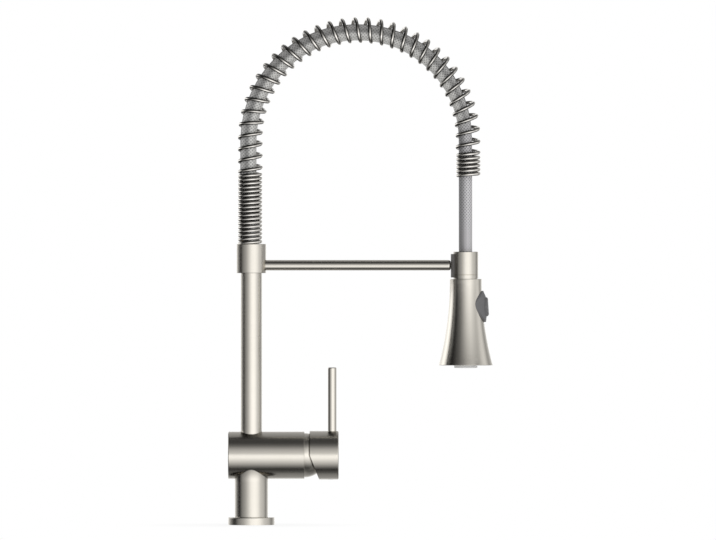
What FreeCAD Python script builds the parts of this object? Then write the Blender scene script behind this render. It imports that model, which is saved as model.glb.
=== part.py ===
"""Spring kitchen faucet: single-lever mixer, swivelling riser, sprung hose arch and docked spray head.

Millimetres. The deck is Z = 0 and the riser stands on the Z axis. +X points to the spray head and +Y to the back.
"""
import FreeCAD, Part
import math
import os

V = FreeCAD.Vector

# Clearances
fit = 0.05            # pieces screwed, pressed or glued together
running = 0.05        # pins and seals that turn in a bore
slack = 0.3           # pieces that move past each other

# Deck flange and pedestal
pedestal_r = 16.65
pedestal_wall = 2.3
pedestal_flare_r = 34.0
pedestal_flare_drop = 2.9
flange_w = 6.65
flange_h = 7.6
flange_edge = 0.8
gasket_margin = 1.8
gasket_h = 1.4

# Threaded holes in the inlet core, at tapping size, each with a web to the core's outside
stud_r = 3.4
stud_depth = 18.0
stud_web = 2.7
inlet_r = 4.5
inlet_depth = 15.0
inlet_web = 1.2
inlet_deg = 54.5
passage_r = 3.0

# Mixer body, lying along X
mixer_z = 69.6
mixer_r = 23.7
mixer_left = -23.2
mixer_right = 53.0
mixer_edge = 0.9
cap_inset = 4.2
cap_t = 3.0
cap_crown = 0.4
outlet_r = 4.0

# Ceramic cartridge, stacked leftwards from the right end of the mixer body
cartridge_r = 17.5
cartridge_wall = 2.2
cartridge_neck_step = 3.5
cartridge_neck_l = 3.5
cartridge_neck_wall = 1.6
lip_w = 2.2
lip_t = 1.8
rotor_disc_t = 2.7
carrier_t = 4.2
disc_t = 3.9
disc_room = 4.3
base_block_l = 13.1
seal_t = 0.8
seal_w = 1.1
port_r = 2.6
port_margin = 3.95
nut_step = 1.3
nut_l = 3.9
nut_notch = 3.0
nut_notches = 4
skirt_l = 1.4
skirt_wall = 1.8

# Lever pivot: stem, cheeks and pin
stem_w = 8.0
cheek_t = 2.7
cheek_h = 12.0
cheek_reach = 4.0
pin_r = 2.0
finger_r = 2.2
finger_neck_r = 1.6
finger_depth = 1.7

# Bonnet dome, handle hub and lever
dome_step = 1.5
dome_wall = 2.0
dome_web = 1.6
crown_inset = 7.8
hub_step = 0.7
hub_gap = 5.2
hub_l = 29.1
hub_edge = 1.2
hub_rim_edge = 0.5
hub_slant_deg = 21.5
hub_clearance = 0.5
hub_face_t = 4.8
lever_inset = 6.5
lever_r = 4.3
lever_l = 78.9
lever_edge = 1.0
lever_web = 4.9
grub_r = 2.0
grub_l = 6.0
grub_inset = 8.3
plug_r = 3.4
plug_t = 3.4

# Riser tube and the swivel joint in the mixer body
riser_r = 10.6
riser_wall = 1.5
socket_drop = 6.1
washer_t = 1.0
nose_step = 2.6
spigot_bore = 5.5
spigot_rise = 4.9
spigot_cover = 5.3
spigot_neck_l = 18.0
oring_cord_r = 1.1
oring_foot_land = 1.9
oring_top_land = 2.4
groove_h = 2.8
retain_groove_h = 3.0
retain_tip_r = 1.2
retain_screw_r = 2.5
retain_recess = 1.2
cross_hole_r = 2.4

# Collar on the riser, with the support arm at its own height
arm_z = 259.6
arm_r = 5.25
arm_end_round = 2.3
arm_spigot_r = 3.0
collar_wall = 4.2
collar_below = 7.9
collar_above = 21.2
collar_edge = 0.5
collar_step_up = 10.4
collar_grub_up = 1.4

# Spray head, on its own vertical axis, set by the arm's height
head_x = 214.3
neck_r = 12.5
neck_below = 13.8
neck_above = 13.5
neck_edge = 0.5
neck_line = 0.6
neck_ring_up = 4.2
neck_ring_w = 0.5
neck_ring_depth = 0.25
neck_wall = 1.3
neck_roof = 4.9
neck_spigot_l = 11.0
neck_spigot_wall = 1.0
sleeve_wall = 0.5
sleeve_inset = 2.0
shell_wall = 1.8
shell_step = 3.6
shell_straight = 4.6
shell_flare_h = 81.7
shell_flare_w = 11.1
shell_roof = 7.0
shell_edge = 0.4

# Dock saddle at the end of the arm, between margins from the neck's two ends
dock_t = 2.1
dock_half_deg = 31.0
dock_foot_margin = 1.5
dock_top_margin = 2.3
dock_round = 1.6
dock_magnet_r = 3.0
dock_magnet_t = 1.2
dock_magnet_pitch = 15.0
dock_screw_r = 1.6
dock_screw_l = 10.0
dock_screw_head_r = 3.0
dock_screw_head_t = 1.3

# Hose in the arch and in the drop
hose_r = 7.0
hose_drop_step = 0.4
hose_sink = 0.1
hose_joint_up = 2.7
hose_bore = 4.2
barb_l = 20.0
barb_bore = 2.6
nipple_inset = 8.0
ferrule_wall = 1.1
ferrule_l = 20.0
ferrule_lift = 2.0

# Coil spring over the arch, round the hose
wire_r = 1.6
coil_room = 2.1
coil_left_x = -0.5
coil_right_lead = 1.8
arch_leg = 104.9
coil_drop = 38.9
dense_left_turns = 17.75
dense_right_turns = 7.4
open_turns = 32.5
dense_left_gap = 0.75
dense_right_gap = 0.82
coil_phase_deg = 18.0
nodes_per_turn = 4

# Hose end inside the neck
end_flange_inset = 2.2
end_flange_up = 0.6
end_flange_t = 3.6
end_ferrule_l = 15.0
end_ferrule_wall = 1.0
end_nozzle_r = 5.5
end_nozzle_l = 14.0
end_bore = 3.0
end_oring_r = 0.9
end_oring_drop = 6.0

# Waterway, valve, spray plate and aerator inside the head
core_r = 8.0
core_socket_step = 0.1
core_socket_drop = 23.6
core_top_drop = 2.0
core_flange_up = 6.7
core_flange_t = 3.5
core_flange_inset = 6.2
core_bore = 2.5
valve_r = 4.5
valve_l = 6.0
plate_up = 2.0
nub_ring_steps = (3.5, 8.3)
nub_counts = (12, 18)
nub_r = 1.1
nub_tip_r = 0.7
nub_h = 1.5
aerator_r = 11.6
aerator_drop = 2.7
aerator_wall = 1.3
aerator_edge = 0.6
screen_t = 1.2
screen_inset = 1.0
screen_hole_r = 0.8
screen_ring_rs = (0.0, 3.1, 6.2)
screen_counts = (1, 6, 12)

# Selector button and its bezel, on the +X side of the head
bezel_drop = 7.2
bezel_l = 31.2
bezel_wide_drop = 14.5
bezel_half_w = 13.9
bezel_axis_inset = 9.9
bezel_top_r = 11.4
bezel_face_r = 15.0
bezel_foot_r = 14.1
bezel_shoulder = 6.0
bezel_toe = 6.5
bezel_face_lean = 1.0
bezel_face_round = 3.0
pad_drop = 6.3
pad_l = 19.2
pad_half_w = 7.6
pad_flank = 4.4
pad_top_r = 16.0
pad_foot_r = 17.2
pad_edge = 2.3
pad_corner = 3.0
pad_back_out = 9.2
pad_stem_r = 2.6
pad_stem_depth = 1.6
button_travel = 3.0

# Worked-out sizes of the base and the inlets
flange_r = pedestal_r + flange_w
gasket_outer_r = flange_r - gasket_margin
gasket_inner_r = pedestal_r + gasket_margin
core_outer_r = pedestal_r - pedestal_wall - fit
stud_x = stud_r + stud_web - core_outer_r
inlet_ring_r = core_outer_r - inlet_r - inlet_web
inlet_x = inlet_ring_r * math.cos(math.radians(inlet_deg))
inlet_y = inlet_ring_r * math.sin(math.radians(inlet_deg))
cap_r = mixer_r - cap_inset

# Worked-out places of the cartridge stack and the lever pivot
pivot = V(mixer_right, 0, mixer_z)
nut_r = cartridge_r + nut_step
nut_right = mixer_right - skirt_l - fit
nut_left = nut_right - nut_l
shoulder_x = nut_left - fit
sleeve_end = shoulder_x + cartridge_neck_l
lip_left = sleeve_end - lip_t
rotor_right = lip_left - slack
rotor_left = rotor_right - rotor_disc_t
step_x = rotor_left - slack
carrier_right = step_x - slack
carrier_left = carrier_right - carrier_t
moving_left = carrier_left - disc_t
fixed_right = moving_left - fit
fixed_left = fixed_right - disc_t
block_left = fixed_left - base_block_l
cavity_floor = block_left - seal_t
cartridge_neck_r = cartridge_r - cartridge_neck_step
neck_bore = cartridge_neck_r - cartridge_neck_wall
lip_r = neck_bore - lip_w
moving_disc_r = cartridge_r - cartridge_wall - disc_room
passage_z = mixer_z - math.sqrt((cartridge_r - port_margin) ** 2 - inlet_y ** 2)
ports = ((-inlet_y, passage_z, passage_r), (inlet_y, passage_z, passage_r), (0.0, mixer_z, outlet_r))
finger_reach = mixer_right - carrier_right + finger_depth
dome_r = mixer_r - dome_step
crown_hole_r = dome_r - crown_inset
hub_r = mixer_r + hub_step
hub_right = mixer_right + hub_gap + hub_l
stem_reach = hub_gap + hub_l - hub_face_t
lever_x = hub_right - lever_inset
lever_foot = mixer_z + stem_w / 2.0 + lever_web
lever_top = lever_foot + lever_l
grub_x = hub_right - grub_inset

# Worked-out places of the riser, the collar and the arch
socket_floor = mixer_z - socket_drop
socket_r = riser_r + slack
riser_bore = riser_r - riser_wall
nose_r = riser_r - nose_step
spigot_land_foot = mixer_z + spigot_rise
spigot_land_top = mixer_z + mixer_r - spigot_cover
oring_levels = (spigot_land_foot + oring_foot_land, spigot_land_top - oring_top_land)
oring_r = socket_r - 2.0 * running - oring_cord_r
groove_r = oring_r - oring_cord_r - 2.0 * fit
retain_z = sum(oring_levels) / 2.0
collar_r = riser_r + collar_wall
collar_foot = arm_z - collar_below
collar_top = arm_z + collar_above
collar_step = arm_z + collar_step_up
collar_grub_z = arm_z + collar_grub_up
coil_r = hose_r + coil_room + wire_r
arch_r = (head_x + coil_right_lead - coil_left_x) / 2.0
arch_z = collar_top + arch_leg
coil_end_z = arch_z - coil_drop
dense_left_pitch = 2.0 * wire_r + dense_left_gap
dense_right_pitch = 2.0 * wire_r + dense_right_gap
hose_arch_z = arch_z - hose_sink
hose_joint_z = coil_end_z + hose_joint_up
hose_drop_r = hose_r - hose_drop_step

# Worked-out places of the dock and the spray head
neck_foot = arm_z - neck_below
neck_top = arm_z + neck_above
dock_foot = neck_foot + dock_foot_margin
dock_top = neck_top - dock_top_margin
dock_inner_r = neck_r + slack
dock_back_x = head_x - dock_inner_r - dock_t
arm_end_x = dock_back_x - fit
end_flange_r = neck_r - end_flange_inset
end_flange_z = neck_foot + end_flange_up
shell_top_r = neck_r + shell_step
shell_rim_r = shell_top_r + shell_flare_w
shell_flare_top = neck_foot - shell_straight
shell_rim_z = shell_flare_top - shell_flare_h
core_socket_r = end_flange_r - core_socket_step
core_socket_foot = neck_foot - core_socket_drop
core_top = neck_foot - core_top_drop
core_flange_z = shell_rim_z + core_flange_up
core_flange_r = shell_rim_r - core_flange_inset
plate_foot = shell_rim_z + plate_up
aerator_foot = shell_rim_z - aerator_drop
bezel_top = shell_flare_top - bezel_drop
bezel_foot = bezel_top - bezel_l
bezel_wide_z = bezel_top - bezel_wide_drop
bezel_axis = shell_top_r - bezel_axis_inset
pad_top = bezel_top - pad_drop
pad_foot = pad_top - pad_l
pad_back = bezel_axis + pad_back_out
pad_stem_reach = core_r - pad_stem_depth
button_z = (pad_top + pad_foot) / 2.0


def rod(radius, start, end):
    """Round bar between two points."""
    along = end - start
    return Part.makeCylinder(radius, along.Length, start, along)


def upright(radius, foot, top, x=0.0, y=0.0):
    """Round bar along Z."""
    return rod(radius, V(x, y, foot), V(x, y, top))


def lying(radius, left, right, y=0.0, z=mixer_z):
    """Round bar along X."""
    return rod(radius, V(left, y, z), V(right, y, z))


def block(low, high):
    """Box between two corners."""
    size = high - low
    return Part.makeBox(size.x, size.y, size.z, low)


def rounded_path(points):
    """Closed chain of lines through (point, corner radius) pairs, with an arc at each rounded corner."""
    edges = []
    legs = []
    for index, (corner, radius) in enumerate(points):
        back = points[index - 1][0] - corner
        ahead = points[(index + 1) % len(points)][0] - corner
        back.normalize()
        ahead.normalize()
        if radius == 0:
            legs.append((corner, None, corner))
            continue
        half = back.getAngle(ahead) / 2.0
        inward = back + ahead
        inward.normalize()
        middle = corner + inward * (radius / math.sin(half) - radius)
        reach = radius / math.tan(half)
        legs.append((corner + back * reach, middle, corner + ahead * reach))
    for index, (start, middle, end) in enumerate(legs):
        if middle is not None:
            edges.append(Part.Arc(start, middle, end).toShape())
        following = legs[(index + 1) % len(legs)][0]
        if end.distanceToPoint(following) > 1e-6:
            edges.append(Part.LineSegment(end, following).toShape())
    return Part.Wire(edges)


def turned_upright(profile, x=0.0):
    """Solid turned about a vertical axis from (radius, height, corner radius) points."""
    wire = rounded_path([(V(x + radius, 0, height), corner) for radius, height, corner in profile])
    return Part.Face(wire).revolve(V(x, 0, 0), V(0, 0, 1), 360)


def turned_lying(profile):
    """Solid turned about the mixer's axis from (radius, x, corner radius) points."""
    wire = rounded_path([(V(along, 0, mixer_z + radius), corner) for radius, along, corner in profile])
    return Part.Face(wire).revolve(V(0, 0, mixer_z), V(1, 0, 0), 360)


def torus_upright(ring_r, cord_r, height, x=0.0):
    """O-ring lying flat."""
    return Part.makeTorus(ring_r, cord_r, V(x, 0, height), V(0, 0, 1))


def without(shape, *tools):
    """Shape with each tool cut out of it."""
    for tool in tools:
        shape = shape.cut(tool)
    return shape


def with_all(shape, *others):
    """Shape joined with the others into one solid."""
    for other in others:
        shape = shape.fuse(other)
    return shape.removeSplitter()


def mixer_cope():
    """Round saddle that the pieces under the mixer body are cut to."""
    return lying(mixer_r + fit, mixer_left - pedestal_r, mixer_right)


def base_flange():
    ring = turned_upright((
        (pedestal_r + fit, 0, 0),
        (flange_r, 0, 0),
        (flange_r, flange_h, flange_edge),
        (pedestal_r + fit, flange_h, 0),
    ))
    groove = upright(gasket_outer_r + fit, 0, gasket_h + fit)
    groove = groove.cut(upright(gasket_inner_r - fit, 0, gasket_h + fit))
    return ring.cut(groove)


def base_gasket():
    return upright(gasket_outer_r, 0, gasket_h).cut(upright(gasket_inner_r, 0, gasket_h))


def pedestal():
    """Foot tube, flared a little where it is brazed under the mixer body."""
    flare_foot = mixer_z - mixer_r - pedestal_flare_drop
    flare_top = mixer_z - mixer_r / 2.0

    def flare(height):
        return pedestal_r + pedestal_flare_r - math.sqrt(pedestal_flare_r ** 2 - (height - flare_foot) ** 2)

    middle_z = (flare_foot + flare_top) / 2.0
    start = V(pedestal_r, 0, flare_foot)
    end = V(flare(flare_top), 0, flare_top)
    arc = Part.Arc(start, V(flare(middle_z), 0, middle_z), end).toShape()
    corners = [end, V(0, 0, flare_top), V(0, 0, 0), V(pedestal_r, 0, 0), start]
    edges = [arc] + [Part.LineSegment(a, b).toShape() for a, b in zip(corners, corners[1:])]
    foot = Part.Face(Part.Wire(edges)).revolve(V(0, 0, 0), V(0, 0, 1), 360)
    return without(foot, upright(pedestal_r - pedestal_wall, 0, mixer_z), mixer_cope())


def inlet_core():
    core = without(upright(core_outer_r, 0, mixer_z), mixer_cope(), upright(stud_r, 0, stud_depth, stud_x))
    for side in (-inlet_y, inlet_y):
        core = core.cut(upright(inlet_r, 0, inlet_depth, inlet_x, side))
        core = core.cut(upright(passage_r, 0, mixer_z, inlet_x, side))
    return core


def mixer_body():
    body = turned_lying((
        (0, mixer_left, 0),
        (mixer_r, mixer_left, mixer_edge),
        (mixer_r, mixer_right, mixer_edge / 2.0),
        (0, mixer_right, 0),
    ))
    body = body.cut(lying(cap_r + fit, mixer_left - cap_crown, mixer_left + cap_t + fit))
    body = body.cut(lying(cartridge_r + slack, cavity_floor, mixer_right))
    body = body.cut(lying(nut_r + fit, nut_left - fit, mixer_right))
    body = body.cut(upright(socket_r, socket_floor, mixer_z + mixer_r))
    body = body.cut(lying(outlet_r, 0, cavity_floor))
    for side in (-inlet_y, inlet_y):
        body = body.cut(upright(passage_r, mixer_z - mixer_r, passage_z, inlet_x, side))
        body = body.cut(lying(passage_r, inlet_x - passage_r, cavity_floor, side, passage_z))
    return body.cut(rod(retain_screw_r + fit, V(0, 0, retain_z), V(0, mixer_r, retain_z)))


def end_cap():
    """Shallow domed disc set in the left end of the mixer body."""
    inner = mixer_left + cap_t
    crown = mixer_left - cap_crown
    dome = (cap_r ** 2 + cap_crown ** 2) / (2.0 * cap_crown)
    return lying(cap_r, crown, inner).common(Part.makeSphere(dome, V(crown + dome, 0, mixer_z)))


def thrust_washer():
    """Plastic washer under the riser spigot."""
    ring = upright(socket_r - fit, socket_floor, socket_floor + washer_t)
    return ring.cut(upright(spigot_bore, socket_floor, socket_floor + washer_t))


def riser_screw():
    """Set screw at the back whose tip rides in the spigot's groove."""
    surface = math.sqrt(mixer_r ** 2 - (retain_z - mixer_z) ** 2)
    shank = rod(retain_screw_r, V(0, socket_r, retain_z), V(0, surface - retain_recess, retain_z))
    tip = rod(retain_tip_r, V(0, groove_r + slack, retain_z), V(0, socket_r, retain_z))
    socket = Part.makePolygon([
        V(retain_tip_r * math.cos(math.radians(60 * step)), surface, retain_z
          + retain_tip_r * math.sin(math.radians(60 * step)))
        for step in range(7)
    ])
    key = Part.Face(socket).extrude(V(0, -retain_recess - retain_screw_r, 0))
    return with_all(shank, tip).cut(key)


def cartridge_seals():
    rings = []
    for y, z, radius in ports:
        ring = lying(radius + seal_w, cavity_floor, block_left, y, z)
        rings.append(ring.cut(lying(radius, cavity_floor, block_left, y, z)))
    return Part.makeCompound(rings)


def cartridge_base():
    base = lying(cartridge_r, block_left, fixed_left)
    for y, z, radius in ports:
        base = base.cut(lying(min(radius, port_r), block_left, fixed_left, y, z))
    return base


def cartridge_sleeve():
    bore = cartridge_r - cartridge_wall
    return turned_lying((
        (bore, fixed_left, 0),
        (cartridge_r, fixed_left, 0),
        (cartridge_r, shoulder_x, 0),
        (cartridge_neck_r, shoulder_x, 0),
        (cartridge_neck_r, sleeve_end, 0),
        (lip_r, sleeve_end, 0),
        (lip_r, lip_left, 0),
        (neck_bore, lip_left, 0),
        (neck_bore, step_x, 0),
        (bore, step_x, 0),
    ))


def ceramic_disc_fixed():
    disc = lying(cartridge_r - cartridge_wall - fit, fixed_left, fixed_right)
    for y, z, radius in ports:
        disc = disc.cut(lying(min(radius, port_r), fixed_left, fixed_right, y, z))
    return disc


def cartridge_nut():
    nut = lying(nut_r, nut_left, nut_right).cut(lying(cartridge_neck_r + fit, nut_left, nut_right))
    for step in range(nut_notches):
        notch = block(
            V(nut_right - nut_notch / 2.0, -nut_notch / 2.0, mixer_z + cartridge_neck_r),
            V(nut_right, nut_notch / 2.0, mixer_z + (cartridge_neck_r + nut_r) / 2.0),
        )
        notch.rotate(V(0, 0, mixer_z), V(1, 0, 0), step * 360.0 / nut_notches)
        nut = nut.cut(notch)
    return nut


def bonnet_dome():
    """Spherical cap on the end of the mixer body, centred on the lever's pivot."""
    def on_sphere(radius, height):
        return V(mixer_right + math.sqrt(radius ** 2 - height ** 2), 0, mixer_z + height)

    def on_station(radius, along):
        return V(mixer_right + along, 0, mixer_z + math.sqrt(radius ** 2 - along ** 2))

    inner_r = dome_r - dome_wall
    skirt_inner = nut_r - skirt_wall
    corners = [
        V(mixer_right - skirt_l, 0, mixer_z + skirt_inner),
        V(mixer_right - skirt_l, 0, mixer_z + nut_r),
        V(mixer_right, 0, mixer_z + nut_r),
        V(mixer_right, 0, mixer_z + dome_r),
    ]
    edges = [Part.LineSegment(a, b).toShape() for a, b in zip(corners, corners[1:])]
    outer_rim = on_sphere(dome_r, crown_hole_r)
    inner_rim = on_sphere(inner_r, crown_hole_r)
    web_root = on_station(inner_r, dome_web)
    web_edge = V(mixer_right + dome_web, 0, mixer_z + skirt_inner)
    edges.append(Part.Arc(corners[-1], on_sphere(dome_r, (dome_r + crown_hole_r) / 2.0), outer_rim).toShape())
    edges.append(Part.LineSegment(outer_rim, inner_rim).toShape())
    middle = on_sphere(inner_r, (crown_hole_r + inner_r) / 2.0)
    edges.append(Part.Arc(inner_rim, middle, web_root).toShape())
    edges.append(Part.LineSegment(web_root, web_edge).toShape())
    edges.append(Part.LineSegment(web_edge, corners[0]).toShape())
    return Part.Face(Part.Wire(edges)).revolve(V(0, 0, mixer_z), V(1, 0, 0), 360)


def cartridge_rotor():
    """Turning disc of the cartridge, with two cheeks that carry the lever's pivot pin."""
    rotor = lying(neck_bore - slack, rotor_left, rotor_right)
    cheek_in = stem_w / 2.0 + slack
    for side in (-1, 1):
        near = side * cheek_in
        far = side * (cheek_in + cheek_t)
        cheek = block(
            V(rotor_left, min(near, far), mixer_z - cheek_h / 2.0),
            V(pivot.x + cheek_reach, max(near, far), mixer_z + cheek_h / 2.0),
        )
        rotor = rotor.fuse(cheek)
    slot_half = finger_r + slack
    swing = (pivot.x - rotor_left) * math.tan(math.radians(hub_slant_deg))
    slot = block(
        V(rotor_left, -slot_half, mixer_z - slot_half - slack),
        V(rotor_right, slot_half, mixer_z + swing + slot_half + slack),
    )
    hole = rod(pin_r + running, pivot - V(0, neck_bore, 0), pivot + V(0, neck_bore, 0))
    return without(rotor, slot, hole).removeSplitter()


def rotor_pin():
    half = stem_w / 2.0 + slack + cheek_t
    return rod(pin_r, pivot - V(0, half, 0), pivot + V(0, half, 0))


def ceramic_disc_moving():
    disc = lying(moving_disc_r, moving_left, carrier_left)
    return disc.cut(lying(outlet_r, moving_left, moving_left + disc_t / 2.0))


def disc_carrier():
    """Plastic driver on the moving disc, with the socket that the stem's finger moves."""
    carrier = lying(moving_disc_r, carrier_left, carrier_right)
    return carrier.cut(lying(finger_r + slack, pivot.x - finger_reach - finger_r - slack, carrier_right))


def cartridge_stem():
    half = stem_w / 2.0
    eye = rod(half, pivot - V(0, half, 0), pivot + V(0, half, 0))
    bar = block(pivot - V(0, half, half), pivot + V(stem_reach, half, half))
    finger = lying(finger_neck_r, pivot.x - finger_reach, pivot.x)
    ball = Part.makeSphere(finger_r, pivot - V(finger_reach, 0, 0))
    hole = rod(pin_r + running, pivot - V(0, stem_w, 0), pivot + V(0, stem_w, 0))
    return with_all(eye, bar, finger, ball).cut(hole)


def hub_blank():
    return turned_lying((
        (0, mixer_right + hub_gap, 0),
        (hub_r, mixer_right + hub_gap, 0),
        (hub_r, hub_right, hub_edge),
        (0, hub_right, 0),
    ))


def hub_rim(blank):
    """Outer edges of the hub's near side, upright above the axis and slanted below it."""
    rim = []
    for edge in blank.Edges:
        middle = edge.valueAt((edge.FirstParameter + edge.LastParameter) / 2.0)
        drop = max(mixer_z - middle.z, 0.0)
        near_side = mixer_right + hub_gap + drop * math.tan(math.radians(hub_slant_deg))
        radius = math.hypot(middle.y, middle.z - mixer_z)
        if abs(radius - hub_r) < fit and abs(middle.x - near_side) < fit:
            rim.append(edge)
    return rim


def handle_hub():
    """Round knob over the dome, cut away below so that it can tilt towards the mixer body."""
    corner = V(mixer_right + hub_gap, 0, mixer_z)
    drop = 2.0 * hub_r
    slant = corner + V(drop * math.tan(math.radians(hub_slant_deg)), 0, -drop)
    back = V(mixer_right, 0, 0)
    outline = [corner, slant, V(back.x, 0, slant.z), V(back.x, 0, corner.z), corner]
    wedge = Part.Face(Part.makePolygon([point - V(0, drop, 0) for point in outline])).extrude(V(0, 2 * drop, 0))
    half = stem_w / 2.0 + fit
    stem_socket = block(pivot - V(0, half, half), pivot + V(stem_reach + fit, half, half))
    blank = hub_blank().cut(wedge)
    return without(
        blank.makeFillet(hub_rim_edge, hub_rim(blank)),
        Part.makeSphere(dome_r + hub_clearance, pivot),
        stem_socket,
        upright(lever_r + fit, lever_foot - fit, mixer_z + hub_r, lever_x),
        upright(grub_r + fit, mixer_z - hub_r, mixer_z, grub_x),
        upright(plug_r + fit, mixer_z - hub_r, mixer_z - hub_r + plug_t + fit, grub_x),
    )


def lever_rod():
    return turned_upright((
        (0, lever_foot, 0),
        (lever_r, lever_foot, 0),
        (lever_r, lever_top, lever_edge),
        (0, lever_top, 0),
    ), lever_x)


def handle_grub_screw():
    top = mixer_z - stem_w / 2.0
    return upright(grub_r, top - grub_l, top, grub_x)


def index_plug():
    """Cover of the grub screw, flush with the underside of the hub."""
    foot = mixer_z - hub_r
    return upright(plug_r, foot, foot + plug_t, grub_x).common(hub_blank())


def riser_spigot():
    """Brass foot of the riser: seal grooves, retaining groove and side holes for the water."""
    land = riser_r
    foot = socket_floor + washer_t
    body = with_all(
        upright(nose_r, foot, spigot_land_foot),
        upright(land, spigot_land_foot, spigot_land_top),
        upright(riser_bore - fit, spigot_land_top, spigot_land_top + spigot_neck_l),
    )
    for level in oring_levels:
        ring = upright(land, level - groove_h / 2.0, level + groove_h / 2.0)
        body = body.cut(ring.cut(upright(groove_r, level - groove_h, level + groove_h)))
    ring = upright(land, retain_z - retain_groove_h / 2.0, retain_z + retain_groove_h / 2.0)
    body = body.cut(ring.cut(upright(groove_r, retain_z - retain_groove_h, retain_z + retain_groove_h)))
    body = body.cut(upright(spigot_bore, foot, spigot_land_top + spigot_neck_l))
    for direction in (V(nose_r, 0, 0), V(0, nose_r, 0)):
        centre = V(0, 0, mixer_z)
        body = body.cut(rod(cross_hole_r, centre - direction, centre + direction))
    return body


def riser_orings():
    return Part.makeCompound([torus_upright(oring_r, oring_cord_r, level) for level in oring_levels])


def riser_tube():
    tube = upright(riser_r, spigot_land_top, collar_step)
    return tube.cut(upright(riser_bore, spigot_land_top, collar_step))


def collar():
    ring = turned_upright((
        (riser_r + fit, collar_foot, 0),
        (collar_r, collar_foot, collar_edge),
        (collar_r, collar_top, collar_edge),
        (riser_bore, collar_top, 0),
        (riser_bore, collar_step, 0),
        (riser_r + fit, collar_step, 0),
    ))
    arm_hole = lying(arm_spigot_r + fit, riser_r, collar_r, 0, arm_z)
    grub_hole = rod(grub_r + fit, V(0, riser_r, collar_grub_z), V(0, collar_r, collar_grub_z))
    return without(ring, arm_hole, grub_hole)


def collar_grub_screw():
    return rod(grub_r, V(0, riser_r + fit, collar_grub_z), V(0, collar_r - collar_edge, collar_grub_z))


def support_arm():
    """Round rod coped to the collar, with a spigot in its wall and a rounded far end."""
    wire = rounded_path((
        (V(0, 0, arm_z), 0),
        (V(0, 0, arm_z + arm_r), 0),
        (V(arm_end_x, 0, arm_z + arm_r), arm_end_round),
        (V(arm_end_x, 0, arm_z), 0),
    ))
    bar = Part.Face(wire).revolve(V(0, 0, arm_z), V(1, 0, 0), 360)
    bar = bar.cut(upright(collar_r + fit, collar_foot, collar_top))
    spigot = lying(arm_spigot_r, riser_r + fit, collar_r + arm_r, 0, arm_z)
    hole = lying(dock_screw_r + fit, arm_end_x - dock_screw_l - fit, arm_end_x, 0, arm_z)
    return with_all(bar, spigot).cut(hole)


def dock_saddle():
    """Curved magnetic rest that holds the neck of the spray head."""
    centre = V(head_x, 0, 0)
    reach = 2.0 * (dock_inner_r + dock_t)
    half = math.radians(dock_half_deg)
    corners = [
        centre,
        centre + V(-reach, -reach * math.tan(half), 0),
        centre + V(-reach, reach * math.tan(half), 0),
        centre,
    ]
    wedge = Part.Face(Part.makePolygon([corner + V(0, 0, dock_foot) for corner in corners]))
    wedge = wedge.extrude(V(0, 0, dock_top - dock_foot))
    ring = upright(dock_inner_r + dock_t, dock_foot, dock_top, head_x)
    ring = ring.cut(upright(dock_inner_r, dock_foot, dock_top, head_x))
    saddle = ring.common(wedge)
    half_w = (dock_inner_r + dock_t) * math.sin(half)
    outline = rounded_path([
        (V(0, -half_w, dock_foot), dock_round),
        (V(0, half_w, dock_foot), dock_round),
        (V(0, half_w, dock_top), dock_round),
        (V(0, -half_w, dock_top), dock_round),
    ])
    window = Part.Face(outline).extrude(V(head_x, 0, 0))
    saddle = saddle.common(window)
    for level in magnet_levels():
        saddle = saddle.cut(lying(dock_magnet_r + fit, magnet_back(), head_x, 0, level))
    saddle = saddle.cut(lying(dock_screw_r + fit, dock_back_x - fit, head_x, 0, arm_z))
    return saddle.cut(lying(dock_screw_head_r + fit, screw_seat(), head_x, 0, arm_z))


def magnet_levels():
    return (arm_z - dock_magnet_pitch / 2.0, arm_z + dock_magnet_pitch / 2.0)


def magnet_back():
    """Deep end of the magnets' pockets, which stay below the saddle's hollow face."""
    face = head_x - math.sqrt(dock_inner_r ** 2 - dock_magnet_r ** 2)
    return face - dock_magnet_t


def screw_seat():
    return head_x - dock_inner_r - dock_screw_head_t - fit


def dock_magnets():
    hollow = upright(dock_inner_r, dock_foot, dock_top, head_x)
    discs = []
    for level in magnet_levels():
        disc = lying(dock_magnet_r, magnet_back(), magnet_back() + dock_magnet_t, 0, level)
        discs.append(disc.cut(hollow))
    return Part.makeCompound(discs)


def dock_screw():
    shank = lying(dock_screw_r, arm_end_x - dock_screw_l, screw_seat(), 0, arm_z)
    head = lying(dock_screw_head_r, screw_seat(), screw_seat() + dock_screw_head_t, 0, arm_z)
    return with_all(shank, head)


def hose_nipple():
    """Brass nipple in the collar, with a barb that the hose is pushed on."""
    foot = collar_step - nipple_inset
    body = with_all(
        upright(riser_bore - fit, foot, collar_top - fit),
        upright(hose_bore - fit, collar_top - fit, collar_top + barb_l),
    )
    return body.cut(upright(barb_bore, foot, collar_top + barb_l))


def hose_ferrule():
    foot = collar_top + ferrule_lift
    ring = upright(hose_r + fit + ferrule_wall, foot, foot + ferrule_l)
    return ring.cut(upright(hose_r + fit, foot, foot + ferrule_l))


def hose_arch():
    """Braided hose: up from the nipple, over the half circle and down to the drop."""
    radius = head_x / 2.0
    foot = V(0, 0, collar_top + fit)
    left = V(0, 0, hose_arch_z)
    right = V(head_x, 0, hose_arch_z)
    path = Part.Wire([
        Part.LineSegment(foot, left).toShape(),
        Part.Arc(left, V(radius, 0, hose_arch_z + radius), right).toShape(),
        Part.LineSegment(right, V(head_x, 0, hose_joint_z)).toShape(),
    ])
    tube = swept_round(path, hose_r, foot, V(0, 0, 1))
    length = path.Length
    print("hose arch length %.1f mm, volume ratio %.4f" % (length, tube.Volume / (math.pi * hose_r ** 2 * length)))
    return tube.cut(upright(hose_bore, collar_top, collar_top + barb_l + fit))


def hose_drop():
    return upright(hose_drop_r, end_flange_z + end_flange_t + fit, hose_joint_z, head_x)


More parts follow.
